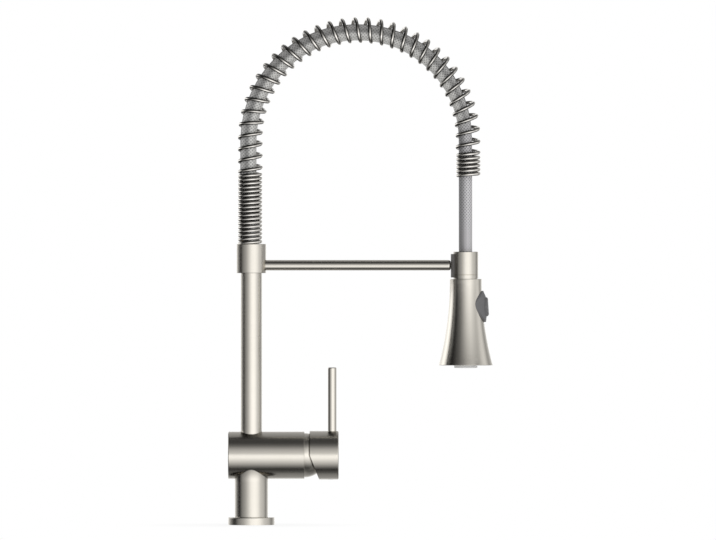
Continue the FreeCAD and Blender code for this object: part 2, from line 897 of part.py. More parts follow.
def swept_round(path, radius, start, direction):
    """Round bar swept along a path."""
    shell = Part.BRepOffsetAPI.MakePipeShell(path)
    shell.add(Part.Wire([Part.makeCircle(radius, start, direction)]))
    shell.build()
    shell.makeSolid()
    return shell.shape()


def ramp(turn):
    """Rate that grows from 0 to 1 over one turn."""
    return min(max(turn, 0.0), 1.0)


def ramp_sum(turn):
    """Sum of the ramp from the start up to a turn."""
    return ramp(turn) ** 2 / 2.0 + max(turn - 1.0, 0.0)


def coil_foot():
    return collar_top + wire_r + slack


def coil_length():
    """Length of the coil's centreline."""
    return arch_z - coil_foot() + math.pi * arch_r + arch_z - coil_end_z


def coil_advance(turn):
    """Length along the centreline after a number of turns: close, then open, then close again."""
    closed = dense_left_pitch * (dense_left_turns + 0.5) + dense_right_pitch * (dense_right_turns - 0.5)
    open_pitch = (coil_length() - closed) / open_turns
    opening = (open_pitch - dense_left_pitch) * ramp_sum(turn - dense_left_turns)
    closing = (dense_right_pitch - open_pitch) * ramp_sum(turn - dense_left_turns - open_turns)
    return dense_left_pitch * turn + opening + closing


def coil_point(turn):
    """Point on the wire's centre after a number of turns."""
    along = coil_advance(turn)
    leg = arch_z - coil_foot()
    bend = (along - leg) / arch_r
    if bend < 0:
        centre = V(coil_left_x, 0, coil_foot() + along)
        outward = V(-1, 0, 0)
    elif bend < math.pi:
        outward = V(-math.cos(bend), 0, math.sin(bend))
        centre = V(coil_left_x + arch_r, 0, arch_z) + outward * arch_r
    else:
        outward = V(1, 0, 0)
        centre = V(coil_left_x + 2.0 * arch_r, 0, arch_z - (along - leg - math.pi * arch_r))
    angle = math.radians(coil_phase_deg) + 2.0 * math.pi * turn
    return centre + outward * (coil_r * math.cos(angle)) - V(0, coil_r * math.sin(angle), 0)


def coil_direction(turn):
    step = 0.001
    direction = coil_point(turn + step) - coil_point(turn - step)
    return direction.normalize()


def arc_between(start, corner, end):
    """Arc from start to end that is tangent to both legs of an even corner."""
    chord_middle = (start + end) * 0.5
    half_chord = (end - start).Length / 2.0
    rise = corner - chord_middle
    lean = math.atan2(rise.Length, half_chord)
    rise.normalize()
    return Part.Arc(start, chord_middle + rise * (half_chord * math.tan(lean / 2.0)), end).toShape()


def biarc(start, start_way, end, end_way):
    """Two tangent arcs between two points with given directions."""
    gap = end - start
    both = start_way + end_way
    bend = 2.0 * (1.0 - start_way.dot(end_way))
    along = gap.dot(both)
    reach = (math.sqrt(along ** 2 + bend * gap.dot(gap)) - along) / bend
    first = start + start_way * reach
    second = end - end_way * reach
    middle = (first + second) * 0.5
    return [arc_between(start, first, middle), arc_between(middle, second, end)]


def print_coil_gap(total):
    """Print the least gap between neighbouring turns, measured on points along the wire."""
    per_turn = 24
    points = [coil_point(index / per_turn) for index in range(int(total * per_turn) + 1)]
    least = min(
        points[index].distanceToPoint(points[other])
        for index in range(len(points))
        for other in range(index + per_turn // 2, min(index + 2 * per_turn, len(points)))
    )
    print("spring turns %.1f, least gap between turns %.2f mm" % (total, least - 2.0 * wire_r))


def spring():
    """Round-wire coil over the arch: one unbroken wire with straight ends."""
    total = dense_left_turns + open_turns + dense_right_turns
    count = int(round(total * nodes_per_turn))
    turns = [total * index / count for index in range(count + 1)]
    points = [coil_point(turn) for turn in turns]
    ways = [coil_direction(turn) for turn in turns]
    tail = 2.0 * wire_r
    first = points[0] - ways[0] * tail
    last = points[-1] + ways[-1] * tail
    edges = [Part.LineSegment(first, points[0]).toShape()]
    for index in range(count):
        edges += biarc(points[index], ways[index], points[index + 1], ways[index + 1])
    edges.append(Part.LineSegment(points[-1], last).toShape())
    print_coil_gap(total)
    return swept_round(Part.Wire(edges), wire_r, first, ways[0])


def hose_end_ferrule():
    foot = end_flange_z + end_flange_t
    inner = hose_drop_r + slack
    ring = upright(inner + end_ferrule_wall, foot, foot + end_ferrule_l, head_x)
    return ring.cut(upright(inner, foot, foot + end_ferrule_l, head_x))


def end_oring_ring_r():
    """Radius of the seal's middle line, which just clears the waterway's socket."""
    return end_nozzle_r + slack - 2.0 * running - end_oring_r


def hose_end_fitting():
    """Swivel end of the hose: a flange that the neck holds and a nozzle in the waterway's socket."""
    foot = end_flange_z - end_nozzle_l
    groove_z = end_flange_z - end_oring_drop
    groove_half = end_oring_r + 2.0 * fit
    nozzle = upright(end_nozzle_r, foot, end_flange_z, head_x)
    groove = upright(end_nozzle_r, groove_z - groove_half, groove_z + groove_half, head_x)
    groove = groove.cut(upright(end_oring_ring_r() - end_oring_r - fit, foot, end_flange_z, head_x))
    body = with_all(nozzle.cut(groove), upright(end_flange_r, end_flange_z, end_flange_z + end_flange_t, head_x))
    return body.cut(upright(end_bore, foot, end_flange_z + end_flange_t, head_x))


def hose_end_oring():
    return torus_upright(end_oring_ring_r(), end_oring_r, end_flange_z - end_oring_drop, head_x)


def neck_spigot_bore():
    return end_flange_r + slack


def neck_chamber_r():
    return neck_r - neck_wall


def head_neck():
    """Upper sleeve of the head, turned, with a spigot that screws into the shell."""
    bore = neck_spigot_bore()
    chamber = neck_chamber_r()
    spigot_foot = neck_foot - neck_spigot_l
    chamber_foot = end_flange_z + end_flange_t
    chamber_top = neck_top - neck_roof
    ring_z = neck_foot + neck_ring_up
    return turned_upright((
        (bore, spigot_foot, 0),
        (bore + neck_spigot_wall, spigot_foot, 0),
        (bore + neck_spigot_wall, neck_foot, 0),
        (neck_r - neck_line, neck_foot, 0),
        (neck_r - neck_line, neck_foot + neck_line, 0),
        (neck_r, neck_foot + neck_line, 0),
        (neck_r, ring_z - neck_ring_w / 2.0, 0),
        (neck_r - neck_ring_depth, ring_z, 0),
        (neck_r, ring_z + neck_ring_w / 2.0, 0),
        (neck_r, neck_top, neck_edge),
        (hose_drop_r + 2.0 * slack, neck_top, 0),
        (hose_drop_r + 2.0 * slack, chamber_top, 0),
        (chamber, chamber_top, 0),
        (chamber, chamber_foot, 0),
        (bore, chamber_foot, 0),
    ), head_x)


def neck_steel_sleeve():
    """Steel ring that the dock's magnets hold through the neck."""
    outer = neck_chamber_r() - fit
    foot = end_flange_z + end_flange_t + fit
    top = neck_top - neck_roof - sleeve_inset
    return upright(outer, foot, top, head_x).cut(upright(outer - sleeve_wall, foot, top, head_x))


def shell_radius(height):
    """Outside radius of the flared shell, a parabola below its straight top."""
    share = max(shell_flare_top - height, 0.0) / shell_flare_h
    return shell_top_r + (shell_rim_r - shell_top_r) * share ** 2


def flare_edge(inset):
    """The parabola as a three-pole curve, moved in by an inset."""
    curve = Part.BezierCurve()
    curve.setPoles([
        V(head_x + shell_top_r - inset, 0, shell_flare_top),
        V(head_x + shell_top_r - inset, 0, shell_flare_top - shell_flare_h / 2.0),
        V(head_x + shell_rim_r - inset, 0, shell_rim_z),
    ])
    return curve.toShape()


def shell_space(inset, top):
    """Solid inside the flare, from its rim up to a height above the straight part's foot."""
    radius = shell_top_r - inset
    outline = [
        V(head_x, 0, top),
        V(head_x + radius, 0, top),
        V(head_x + radius, 0, shell_flare_top),
    ]
    foot = [
        V(head_x + shell_rim_r - inset, 0, shell_rim_z),
        V(head_x, 0, shell_rim_z),
        V(head_x, 0, top),
    ]
    edges = [Part.LineSegment(a, b).toShape() for a, b in zip(outline, outline[1:])]
    edges.append(flare_edge(inset))
    edges += [Part.LineSegment(a, b).toShape() for a, b in zip(foot, foot[1:])]
    return Part.Face(Part.Wire(edges)).revolve(V(head_x, 0, 0), V(0, 0, 1), 360)


def egg(top, foot, wide_z, half_w, start, end):
    """Plate of four quarter ellipses on one widest line, seen along X, between two distances from the head's axis."""
    quarter_pull = 0.5523
    centre = V(head_x + start, 0, wide_z)
    edges = []
    for way in (-1, 1):
        belly = V(0, way * half_w, 0)
        for tip in (V(0, 0, top - wide_z), V(0, 0, foot - wide_z)):
            curve = Part.BezierCurve()
            curve.setPoles([
                centre + tip,
                centre + tip + belly * quarter_pull,
                centre + belly + tip * quarter_pull,
                centre + belly,
            ])
            edges.append(curve.toShape())
    wire = Part.Wire(Part.__sortEdges__(edges))
    return Part.Face(wire).extrude(V(end - start, 0, 0))


def bezel_prism(grow, start):
    half_w = bezel_half_w + grow
    return egg(bezel_top + grow, bezel_foot - grow, bezel_wide_z, half_w, start, start + 2.0 * bezel_face_r)


def pad_prism(grow, start):
    """Six-sided pad with rounded corners, seen along X."""
    half = pad_half_w + grow
    flank = pad_flank
    high = pad_top + grow
    low = pad_foot - grow
    middle = (high + low) / 2.0
    corners = (
        V(0, -half, middle),
        V(0, -flank, low),
        V(0, flank, low),
        V(0, half, middle),
        V(0, flank, high),
        V(0, -flank, high),
    )
    wire = rounded_path([(corner + V(head_x + start, 0, 0), pad_corner + grow) for corner in corners])
    return Part.Face(wire).extrude(V(2.0 * pad_foot_r, 0, 0))


def head_shell():
    """Flared casing of the spray head, open below, with a window for the button."""
    solid = shell_space(0.0, neck_foot)
    top_edge = [edge for edge in solid.Edges if edge.BoundBox.ZMin > shell_flare_top + fit]
    rim_edge = [edge for edge in solid.Edges if edge.BoundBox.ZMax < shell_rim_z + fit]
    solid = solid.makeFillet(shell_edge, top_edge + rim_edge)
    cavity = shell_space(shell_wall, neck_foot - shell_roof)
    mouth = upright(neck_spigot_bore() + neck_spigot_wall + fit, shell_flare_top - shell_roof, neck_foot, head_x)
    return without(solid, cavity, mouth, bezel_prism(fit, bezel_axis))


def button_bezel():
    """Rim that fills the shell's window and guides the button."""
    face = turned_upright((
        (0, bezel_foot, 0),
        (bezel_foot_r, bezel_foot, 0),
        (bezel_face_r, bezel_foot + bezel_toe, bezel_face_round),
        (bezel_face_r - bezel_face_lean, bezel_top - bezel_shoulder, bezel_face_round),
        (bezel_top_r, bezel_top, 0),
        (0, bezel_top, 0),
    ), head_x + bezel_axis)
    plate = bezel_prism(0.0, bezel_axis).common(face)
    return without(plate, shell_space(shell_wall, neck_foot), pad_prism(slack, bezel_axis))


def selector_button():
    """Push button for jet and spray, with a guide stem in the waterway."""
    face = turned_upright((
        (0, pad_foot, 0),
        (pad_foot_r, pad_foot, pad_edge),
        (pad_top_r, pad_top, pad_edge),
        (0, pad_top, 0),
    ), head_x + bezel_axis)
    pad = pad_prism(0.0, pad_back).common(face)
    stem = lying(pad_stem_r, head_x + pad_stem_reach, head_x + pad_back + pad_edge, 0, button_z)
    return with_all(pad, stem)


def waterway_core():
    """Moulded waterway: hose socket above, button guide at the side, flange for the spray plate below."""
    core = with_all(
        upright(core_socket_r, core_socket_foot, core_top, head_x),
        upright(core_r, core_flange_z, core_socket_foot, head_x),
        upright(core_flange_r, core_flange_z, core_flange_z + core_flange_t, head_x),
    )
    nozzle_foot = end_flange_z - end_nozzle_l
    guide_end = head_x + pad_stem_reach - button_travel - fit
    return without(
        core,
        upright(end_nozzle_r + slack, nozzle_foot - slack, core_top, head_x),
        upright(valve_r + fit, nozzle_foot - slack - valve_l, nozzle_foot, head_x),
        upright(core_bore, core_flange_z, nozzle_foot, head_x),
        lying(pad_stem_r + running, guide_end, head_x + core_r, 0, button_z),
        upright(aerator_r + fit, core_flange_z, core_flange_z + core_flange_t / 2.0, head_x),
    )


def check_valve():
    top = end_flange_z - end_nozzle_l - slack
    body = upright(valve_r, top - valve_l, top - fit, head_x)
    return body.cut(upright(core_bore, top - valve_l, top - valve_l / 2.0, head_x))


def spray_plate():
    rim = shell_wall + fit + running
    return turned_upright((
        (aerator_r + fit, plate_foot, 0),
        (shell_radius(plate_foot) - rim, plate_foot, 0),
        (shell_radius(core_flange_z) - rim, core_flange_z, 0),
        (aerator_r + fit, core_flange_z, 0),
    ), head_x)


def spray_nubs():
    """Soft spray nozzles in two rings under the plate."""
    nubs = []
    for ring_step, count in zip(nub_ring_steps, nub_counts):
        ring_r = aerator_r + ring_step
        for step in range(count):
            angle = 2.0 * math.pi * step / count
            foot = V(head_x + ring_r * math.cos(angle), ring_r * math.sin(angle), plate_foot)
            nubs.append(Part.makeCone(nub_r, nub_tip_r, nub_h, foot, V(0, 0, -1)))
    return Part.makeCompound(nubs)


def aerator_housing():
    top = core_flange_z + core_flange_t / 2.0
    bore = aerator_r - aerator_wall
    return turned_upright((
        (bore, aerator_foot, 0),
        (aerator_r, aerator_foot, aerator_edge),
        (aerator_r, top, 0),
        (bore, top, 0),
    ), head_x)


def aerator_screen():
    foot = aerator_foot + screen_inset
    screen = upright(aerator_r - aerator_wall - fit, foot, foot + screen_t, head_x)
    for ring_r, count in zip(screen_ring_rs, screen_counts):
        for step in range(count):
            angle = 2.0 * math.pi * step / count
            x = head_x + ring_r * math.cos(angle)
            y = ring_r * math.sin(angle)
            screen = screen.cut(upright(screen_hole_r, foot, foot + screen_t, x, y))
    return screen


pieces = (
    base_flange, base_gasket, pedestal, inlet_core, mixer_body, end_cap, thrust_washer, riser_screw,
    cartridge_seals, cartridge_base, cartridge_sleeve, ceramic_disc_fixed, cartridge_nut, bonnet_dome,
    cartridge_rotor, rotor_pin, ceramic_disc_moving, disc_carrier,
    cartridge_stem, handle_hub, lever_rod, handle_grub_screw, index_plug,
    riser_spigot, riser_orings, riser_tube, collar, collar_grub_screw, support_arm,
    dock_saddle, dock_magnets, dock_screw, hose_nipple, hose_ferrule, hose_arch, hose_drop, spring,
    hose_end_ferrule, hose_end_fitting, hose_end_oring,
    head_neck, neck_steel_sleeve, head_shell, button_bezel, selector_button,
    waterway_core, check_valve, spray_plate, spray_nubs, aerator_housing, aerator_screen,
)

os.makedirs("parts", exist_ok=True)
for piece in pieces:
    piece().exportStep("parts/%s.step" % piece.__name__)
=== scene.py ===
"""Spring kitchen faucet in satin nickel, dressed piece by piece in the order that it is put together."""
import math

import bmesh
import bpy
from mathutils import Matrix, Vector


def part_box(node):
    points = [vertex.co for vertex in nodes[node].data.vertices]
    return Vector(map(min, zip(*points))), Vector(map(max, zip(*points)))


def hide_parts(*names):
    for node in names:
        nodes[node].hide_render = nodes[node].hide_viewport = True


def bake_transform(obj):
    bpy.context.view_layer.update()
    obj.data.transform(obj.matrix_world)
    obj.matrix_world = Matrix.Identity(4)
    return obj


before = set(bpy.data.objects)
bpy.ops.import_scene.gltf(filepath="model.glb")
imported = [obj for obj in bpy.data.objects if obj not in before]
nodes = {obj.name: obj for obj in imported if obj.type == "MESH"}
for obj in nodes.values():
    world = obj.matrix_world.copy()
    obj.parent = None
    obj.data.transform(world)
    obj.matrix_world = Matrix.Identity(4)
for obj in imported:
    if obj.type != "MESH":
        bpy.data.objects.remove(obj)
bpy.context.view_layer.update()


# Deck gasket
# A flat black rubber ring in a groove under the flange, moulded, with a dull skin.
# The rubber recipe here also serves the O-rings and port seals further up.
def feed(tree, socket, value):
    """Links another node's output to a socket, or sets the socket's own value."""
    if isinstance(value, bpy.types.NodeSocket):
        tree.links.new(value, socket)
    else:
        socket.default_value = value


def add_node(tree, kind, **sockets):
    """Adds a shader node and feeds its sockets by name, with _ for a space."""
    made = tree.nodes.new(kind)
    for name, value in sockets.items():
        feed(tree, made.inputs[name.replace("_", " ")], value)
    return made


def add_range(tree, value, low, high):
    """Stretches a mask from 0 and 1 to a low and a high value."""
    made = add_node(tree, "ShaderNodeMapRange", Value=value, To_Min=low, To_Max=high)
    return made.outputs["Result"]


# The Mix node's colour sockets share their names with its others, so they are found by place.
mix_colours_in = (6, 7)
mix_colour_out = 2


def mixed(tree, share, first, second):
    """Blends two colours by a mask. Each is plain or comes from another node."""
    made = add_node(tree, "ShaderNodeMix", Factor=share)
    made.data_type = "RGBA"
    for place, colour in zip(mix_colours_in, (first, second)):
        plain = not isinstance(colour, bpy.types.NodeSocket)
        feed(tree, made.inputs[place], (*colour, 1.0) if plain else colour)
    return made.outputs[mix_colour_out]


def new_surface(name):
    """Starts a material and gives back its tree and Principled shader."""
    material = bpy.data.materials.new(name)
    material.use_nodes = True
    return material, material.node_tree, material.node_tree.nodes["Principled BSDF"]


def new_group(name, inputs, outputs):
    """Starts a shader node group with named sockets, and gives back its tree, input and output nodes."""
    tree = bpy.data.node_groups.new(name, "ShaderNodeTree")
    for socket, kind in inputs.items():
        tree.interface.new_socket(socket, in_out="INPUT", socket_type=kind)
    for socket in outputs:
        tree.interface.new_socket(socket, in_out="OUTPUT", socket_type="NodeSocketFloat")
    return tree, tree.nodes.new("NodeGroupInput"), tree.nodes.new("NodeGroupOutput")


def place_group(tree, group, **sockets):
    """Puts a node group into a material and feeds its sockets."""
    made = tree.nodes.new("ShaderNodeGroup")
    made.node_tree = group
    for name, value in sockets.items():
        feed(tree, made.inputs[name], value)
    return made


def add_bump(tree, shader, height, strength, distance):
    """Raises a surface by a height mask."""
    bump = add_node(tree, "ShaderNodeBump", Height=height, Strength=strength, Distance=distance)
    tree.links.new(bump.outputs["Normal"], shader.inputs["Normal"])


def dress(material, *names):
    """Gives CAD nodes a material."""
    for name in names:
        slots = nodes[name].data.materials
        slots.clear()
        slots.append(material)


skin_cloud_scale = 55.0
skin_relief = 0.35


def make_speckle():
    """Fine moulded skin: a small grain over broad, faint clouds."""
    tree, given, out = new_group("speckle", {"Scale": "NodeSocketFloat"}, ("Grain", "Cloud"))
    place = tree.nodes.new("ShaderNodeTexCoord").outputs["Object"]
    grain = add_node(tree, "ShaderNodeTexNoise", Vector=place, Scale=given.outputs["Scale"], Detail=3.0)
    cloud = add_node(tree, "ShaderNodeTexNoise", Vector=place, Scale=skin_cloud_scale, Detail=2.0)
    tree.links.new(grain.outputs["Fac"], out.inputs["Grain"])
    tree.links.new(cloud.outputs["Fac"], out.inputs["Cloud"])
    return tree


speckle = make_speckle()


def moulded(name, dark, light, roughness, grain_scale, grain_depth):
    """Moulded plastic or rubber: two close shades, a fine skin and an uneven gloss."""
    material, tree, shader = new_surface(name)
    skin = place_group(tree, speckle, Scale=grain_scale)
    tree.links.new(mixed(tree, skin.outputs["Cloud"], dark, light), shader.inputs["Base Color"])
    tree.links.new(add_range(tree, skin.outputs["Grain"], *roughness), shader.inputs["Roughness"])
    add_bump(tree, shader, skin.outputs["Grain"], skin_relief, grain_depth)
    return material


seal_rubber = moulded(
    "seal_rubber", dark=(0.018, 0.018, 0.018), light=(0.032, 0.031, 0.03),
    roughness=(0.5, 0.68), grain_scale=2600.0, grain_depth=0.00004)
dress(seal_rubber, "base_gasket", "riser_orings", "hose_end_oring", "cartridge_seals")


# Deck flange and pedestal
# Turned brass with a satin nickel finish: the flange covers the tap hole, and the pedestal stands in it.
# Fine turning marks run round the upright axis, too small to see from a step away.
def add_math(tree, operation, *values):
    """Adds a Math node and gives back its output."""
    made = tree.nodes.new("ShaderNodeMath")
    made.operation = operation
    for socket, value in zip(made.inputs, values):
        feed(tree, socket, value)
    return made.outputs["Value"]


def add_vector(tree, operation, *values, result="Vector"):
    """Adds a Vector Math node and gives back its vector, or its value where that is asked for."""
    made = tree.nodes.new("ShaderNodeVectorMath")
    made.operation = operation
    for socket, value in zip(made.inputs, values):
        feed(tree, socket, value)
    return made.outputs[result]


polish_cloud_scale = 42.0
polish_relief = 0.12
polish_depth = 0.00001
marks_round_z = (60.0, 60.0, 5200.0)
marks_round_x = (5200.0, 60.0, 60.0)


def make_turning_marks():
    """Marks left by a fine abrasive on a turned piece, drawn out round its axis, over faint clouds of polish."""
    tree, given, out = new_group("turning_marks", {"Stretch": "NodeSocketVector"}, ("Marks", "Cloud"))
    place = tree.nodes.new("ShaderNodeTexCoord").outputs["Object"]
    stretched = add_vector(tree, "MULTIPLY", place, given.outputs["Stretch"])
    marks = add_node(tree, "ShaderNodeTexNoise", Vector=stretched, Scale=1.0, Detail=4.0)
    cloud = add_node(tree, "ShaderNodeTexNoise", Vector=place, Scale=polish_cloud_scale, Detail=2.0)
    tree.links.new(marks.outputs["Fac"], out.inputs["Marks"])
    tree.links.new(cloud.outputs["Fac"], out.inputs["Cloud"])
    return tree


turning_marks = make_turning_marks()


def satin_metal(name, stretch, dark, light, roughness):
    """Satin metal: warm plating, with gloss and relief that follow the turning marks."""
    material, tree, shader = new_surface(name)
    shader.inputs["Metallic"].default_value = 1.0
    finish = place_group(tree, turning_marks, Stretch=stretch)
    tree.links.new(mixed(tree, finish.outputs["Cloud"], dark, light), shader.inputs["Base Color"])
    tree.links.new(add_range(tree, finish.outputs["Marks"], *roughness), shader.inputs["Roughness"])
    add_bump(tree, shader, finish.outputs["Marks"], polish_relief, polish_depth)
    return material


far_image = 0.04
far_shade = (0.03, 0.03, 0.03)


def dim_far_image(material):
    """Darkens what other pieces mirror of a piece from a distance, so that their dark edges stay clean."""
    tree = material.node_tree
    colour = tree.nodes["Principled BSDF"].inputs["Base Color"]
    light_path = tree.nodes.new("ShaderNodeLightPath")
    far = add_math(tree, "GREATER_THAN", light_path.outputs["Ray Length"], far_image)
    image = add_math(tree, "MULTIPLY", light_path.outputs["Is Glossy Ray"], far)
    tree.links.new(mixed(tree, image, colour.links[0].from_socket, far_shade), colour)


nickel_dark = (0.655, 0.622, 0.56)
nickel_light = (0.695, 0.662, 0.6)
nickel_upright = satin_metal("nickel_upright", marks_round_z, nickel_dark, nickel_light, roughness=(0.15, 0.25))
dim_far_image(nickel_upright)
dress(nickel_upright, "base_flange", "pedestal")


# Inlet core
# Brass bar in the pedestal, drilled for the stud and tapped for the two supply hoses, and seen only from below.
# Bare machined brass, which the hidden fittings, the cartridge nut and the stem are made of as well.
machined_brass = satin_metal(
    "machined_brass", marks_round_z, dark=(0.62, 0.44, 0.2), light=(0.72, 0.54, 0.27), roughness=(0.28, 0.45))
dress(
    machined_brass, "inlet_core", "riser_spigot", "hose_nipple", "hose_end_fitting", "cartridge_nut",
    "cartridge_stem")


# Mixer body and end cap
# Lying brass cylinder with the cartridge in its right end, closed at the left by a shallow domed cap.
# Same nickel as the pedestal, turned about the lying axis.
nickel_lying = satin_metal("nickel_lying", marks_round_x, nickel_dark, nickel_light, roughness=(0.15, 0.25))
dress(nickel_lying, "mixer_body", "end_cap")


# Cartridge
# Moulded plastic housing, rotor and carrier round two lapped ceramic discs; all sealed inside the body.
# White acetal with a fine moulded skin, also used in the head and under the riser, and dense white ceramic.
cartridge_plastic = moulded(
    "cartridge_plastic", dark=(0.72, 0.71, 0.66), light=(0.8, 0.79, 0.74),
    roughness=(0.35, 0.5), grain_scale=1800.0, grain_depth=0.00002)
dress(
    cartridge_plastic, "cartridge_base", "cartridge_sleeve", "cartridge_rotor", "disc_carrier", "waterway_core",
    "check_valve", "thrust_washer")
lapped_ceramic = moulded(
    "lapped_ceramic", dark=(0.82, 0.81, 0.78), light=(0.88, 0.87, 0.84),
    roughness=(0.12, 0.2), grain_scale=4200.0, grain_depth=0.00001)
dress(lapped_ceramic, "ceramic_disc_fixed", "ceramic_disc_moving")


# Small steel pieces
# Set screws, the lever's pin, the dock screw, the hose ferrules and the steel ring in the neck.
# Plain machined stainless steel, cooler in tone than the nickel.
machined_steel = satin_metal(
    "machined_steel", marks_round_z, dark=(0.5, 0.5, 0.5), light=(0.6, 0.6, 0.59), roughness=(0.25, 0.4))
dress(
    machined_steel, "riser_screw", "collar_grub_screw", "handle_grub_screw", "rotor_pin", "dock_screw",
    "hose_ferrule", "hose_end_ferrule", "neck_steel_sleeve")


# Bonnet dome, handle hub and lever
# Turned brass cap over the cartridge, a knob that tilts over it, and a plain rod pressed into the knob.
# Nickel, turned about the lying axis on the dome and knob and the upright on the rod; the dome gets a lighter copy
# of it as painted light.
def draw_low(material, lift):
    """Draws what a metal mirrors a little lower on it, as a low light does, or higher by a negative lift."""
    tree = material.node_tree
    normal = tree.nodes["Principled BSDF"].inputs["Normal"]
    lifted = add_vector(tree, "ADD", normal.links[0].from_socket, (0.0, 0.0, lift))
    tree.links.new(add_vector(tree, "NORMALIZE", lifted), normal)


# A lighter copy of the nickel, as painted light, for the dome and the tube.
lit_nickel_dark = (0.72, 0.684, 0.616)
lit_nickel_light = (0.765, 0.728, 0.66)
nickel_dome = satin_metal("nickel_dome", marks_round_x, lit_nickel_dark, lit_nickel_light, roughness=(0.2, 0.3))
draw_low(nickel_dome, lift=-0.05)
dress(nickel_dome, "bonnet_dome")
dress(nickel_lying, "handle_hub")
nickel_rod = satin_metal("nickel_rod", marks_round_z, nickel_dark, nickel_light, roughness=(0.05, 0.1))
dress(nickel_rod, "lever_rod")
plug_cover = moulded(
    "plug_cover", dark=(0.3, 0.29, 0.27), light=(0.34, 0.33, 0.31),
    roughness=(0.3, 0.42), grain_scale=2200.0, grain_depth=0.00001)
dress(plug_cover, "index_plug")


# Riser, collar and support arm
# Drawn steel tube that swivels in the body, a brass collar pressed on its top, and a solid rod to the dock.
# All plated with nickel, with the marks round each piece's own axis; the tube gets a lighter copy of it as painted
# light.
nickel_tube = satin_metal("nickel_tube", marks_round_z, lit_nickel_dark, lit_nickel_light, roughness=(0.2, 0.3))
dim_far_image(nickel_tube)
dress(nickel_tube, "riser_tube")
dress(nickel_upright, "collar")
nickel_arm = satin_metal("nickel_arm", marks_round_x, nickel_dark, nickel_light, roughness=(0.12, 0.2))
draw_low(nickel_arm, lift=0.1)
dress(nickel_arm, "support_arm")


# Dock
# Hollow-faced rest screwed to the arm's end, moulded in dark grey plastic over two plated magnets.
# Fine matt texture from the mould.
dock_plastic = moulded(
    "dock_plastic", dark=(0.09, 0.086, 0.082), light=(0.115, 0.109, 0.104),
    roughness=(0.45, 0.6), grain_scale=2400.0, grain_depth=0.00003)
dress(dock_plastic, "dock_saddle")
plated_magnet = satin_metal(
    "plated_magnet", marks_round_x, dark=(0.48, 0.48, 0.47), light=(0.56, 0.56, 0.55), roughness=(0.2, 0.32))
dress(plated_magnet, "dock_magnets")


# Hose
# Rubber hose in a fine grey braid, from the nipple in the collar, up through the spring, over the arch and down
# into the head's neck. It is a tube on a smooth route; the braid is drawn on the tube's own lengthwise map,
# paler on the inside of the bend, with painted shade along the arch's outermost line, and bolder on the straight
# drop, whose left side is painted darker and right side lighter, as the light falls there.
collar_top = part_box("collar")[1].z
drop_low, drop_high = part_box("hose_drop")
drop_shift = -0.0002
drop_x = (drop_low.x + drop_high.x) / 2.0 + drop_shift
hose_r = 0.0081
hose_end_r = 0.0067
bend_x = 0.1074
bend_z = 0.3859
bend_r = 0.1091
lean_in = 0.0025
lean_out = 0.0013
leg_steps = 9
bend_steps = 30
drop_steps = 12
leg_settled = 0.6
taper_start = 0.7
taper_end = 0.99
drop_settled = 0.55


def smooth(value, start, end):
    """Share of the way from a start to an end, with soft ends, held between 0 and 1."""
    held = min(max((value - start) / (end - start), 0.0), 1.0)
    return held * held * (3.0 - 2.0 * held)


def hose_bend(share):
    """Point on the hose's arch, which leaves the coil's outer side and rests on its inner side from the top on."""
    outward = Vector((-math.cos(math.pi * share), 0.0, math.sin(math.pi * share)))
    lean = lean_out - (lean_out + lean_in) * min(2.0 * share, 1.0)
    return Vector((bend_x, 0.0, bend_z)) + outward * (bend_r + lean)


leg_x = hose_bend(0.0).x
bend_end_x = hose_bend(1.0).x
hose_route = []
hose_radii = []
for step in range(leg_steps):
    share = step / leg_steps
    settled = smooth(share, 0.0, leg_settled)
    hose_route.append(Vector((leg_x * settled, 0.0, collar_top + (bend_z - collar_top) * share)))
    hose_radii.append(hose_end_r + (hose_r - hose_end_r) * settled)
for step in range(bend_steps):
    share = step / bend_steps
    hose_route.append(hose_bend(share))
    hose_radii.append(hose_r + (hose_end_r - hose_r) * smooth(share, taper_start, taper_end))
for step in range(drop_steps + 1):
    share = step / drop_steps
    hose_x = bend_end_x + (drop_x - bend_end_x) * smooth(share, 0.0, drop_settled)
    hose_route.append(Vector((hose_x, 0.0, bend_z + (drop_low.z - bend_z) * share)))
    hose_radii.append(hose_end_r)
cut_edge = math.radians(50.0)


def piped(name, points, radii, resolution, sides):
    """Round bar along a smooth line through control points, as a mesh with a lengthwise map."""
    curve = bpy.data.curves.new(name, "CURVE")
    curve.dimensions = "3D"
    curve.resolution_u = resolution
    curve.bevel_depth = 1.0
    curve.bevel_resolution = sides
    curve.use_fill_caps = True
    spline = curve.splines.new("NURBS")
    spline.points.add(len(points) - 1)
    for point, place, radius in zip(spline.points, points, radii):
        point.co = (*place, 1.0)
        point.radius = radius
    spline.order_u = 3
    spline.use_endpoint_u = True
    drawn = bpy.data.objects.new(name, curve)
    mesh = bpy.data.meshes.new_from_object(drawn)
    bpy.data.objects.remove(drawn)
    bpy.data.curves.remove(curve)
    mesh.shade_smooth()
    mesh.set_sharp_from_angle(angle=cut_edge)
    mesh.name = name
    piece = bpy.data.objects.new(name, mesh)
    bpy.context.scene.collection.objects.link(piece)
    return piece


def own_map(tree):
    """The two values of a piece's own map, as X and Y."""
    flat_map = tree.nodes.new("ShaderNodeUVMap")
    return add_node(tree, "ShaderNodeSeparateXYZ", Vector=flat_map.outputs["UV"]).outputs


def eased(tree, value, start, end):
    """Mask that runs smoothly from 0 at a start to 1 at an end."""
    made = add_node(tree, "ShaderNodeMapRange", Value=value, From_Min=start, From_Max=end)
    made.interpolation_type = "SMOOTHSTEP"
    return made.outputs["Result"]


